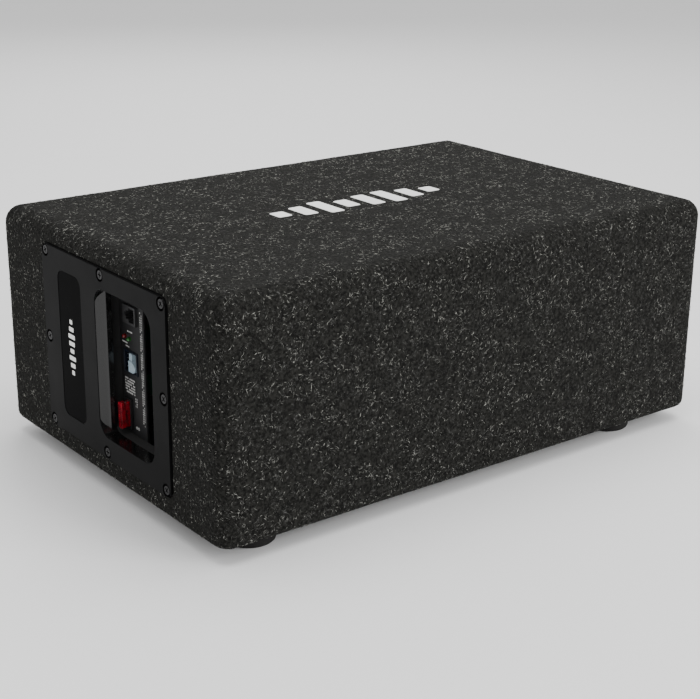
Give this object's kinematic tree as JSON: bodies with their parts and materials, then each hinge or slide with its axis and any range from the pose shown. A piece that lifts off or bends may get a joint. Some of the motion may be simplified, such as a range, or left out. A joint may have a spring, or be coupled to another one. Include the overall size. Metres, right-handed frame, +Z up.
{
  "type": "powered car subwoofer",
  "caption": "Compact carpeted car subwoofer cabinet on rubber feet, with a moulded amplifier panel in one end and a floor-facing driver and port.",
  "frame": {"origin": "on the floor under the feet, at the middle of the whole object's length and depth", "axes": "+X along the long side away from the amplifier panel, -Y the long front side, +Z up"},
  "size_m": [0.4416, 0.298, 0.1788],
  "materials": {
    "carpet": "needle-punched felt carpet, charcoal with pale flecks",
    "board": "raw fibreboard",
    "rubber_foot": "moulded black rubber",
    "zinc_screw": "zinc plated",
    "black_screw": "black oxide",
    "wadding": "polyester wadding",
    "print_white": "matt white print",
    "port_plastic": "moulded black plastic",
    "panel_plastic": "fine-textured satin black",
    "gloss_black": "polished black",
    "foam": "closed-cell foam",
    "control_paint": "satin black powder coat",
    "sheet_steel": "zinc plated sheet",
    "heat_sink": "extruded, dull",
    "board_green": "solder mask",
    "brass": "turned",
    "black_plastic": "glass-filled black",
    "gold": "gold flashed",
    "led_red": "clear red",
    "led_green": "clear green",
    "tin": "tinned",
    "header_dark": "near-black nylon",
    "header_pale": "pale nylon",
    "fuse_red": "translucent red",
    "can_sleeve": "shrink sleeve",
    "ferrite_core": "painted powder core",
    "copper": "enamelled copper",
    "lead_sleeve": "wire insulation",
    "basket_paint": "black epoxy paint",
    "surround_rubber": "soft butyl rubber",
    "spider_cloth": "resin-dipped cloth",
    "cone_pulp": "coated pulp",
    "cap_plastic": "soft-touch dome",
    "aluminium_foil": "bright foil",
    "pressed_board": "phenolic board",
    "bare_steel": "passivated",
    "ferrite": "sintered ferrite"
  },
  "bodies": {
    "cabinet": {"carpet": "carpet", "top_board": "board", "bottom_board": "board", "front_board": "board", "rear_board": "board", "left_board": "board", "right_board": "board", "feet": "rubber_foot", "foot_screws": "zinc_screw", "wadding": "wadding", "top_emblem": "print_white", "port_tube": "port_plastic", "panel": "panel_plastic", "panel_gasket": "foam", "panel_screws": "black_screw", "label_plate": "gloss_black", "label_emblem": "print_white", "recess_seal": "foam", "control_plate": "control_paint", "control_legends": "print_white", "amp_housing": "sheet_steel", "heat_sink": "heat_sink", "circuit_board": "board_green", "board_standoffs": "brass", "board_screws": "zinc_screw", "remote_jack": "black_plastic", "jack_contacts": "gold", "fault_led": "led_red", "power_led": "led_green", "led_legs": "tin", "header_shell": "header_dark", "header_block": "header_pale", "header_pins": "tin", "fuse_holder": "black_plastic", "capacitors": "can_sleeve", "choke": "ferrite_core", "choke_winding": "copper", "transistors": "black_plastic", "clamp_bar": "sheet_steel", "speaker_leads": "lead_sleeve", "lead_grommet": "black_plastic", "basket": "basket_paint", "driver_gasket": "foam", "driver_screws": "black_screw", "surround": "surround_rubber", "spider": "spider_cloth", "terminal_strip": "pressed_board", "top_plate": "bare_steel", "magnet": "ferrite", "yoke": "bare_steel"},
    "cone_assembly": {"cone": "cone_pulp", "dust_cap": "cap_plastic", "coil_former": "aluminium_foil", "voice_coil": "copper"},
    "fuse": {"fuse_body": "fuse_red", "fuse_blades": "tin"}
  },
  "joints": [
    {"name": "cone_travel", "type": "slide", "parent": "cabinet", "child": "cone_assembly", "axis": [0, 0, 1], "range_m": [-0.006, 0.006], "stiffness_N_per_m": 5000, "deforming": ["surround", "spider"]},
    {"name": "fuse_pull", "type": "slide", "parent": "cabinet", "child": "fuse", "axis": [-1, 0, 0], "range_m": [0, 0.016]}
  ]
}
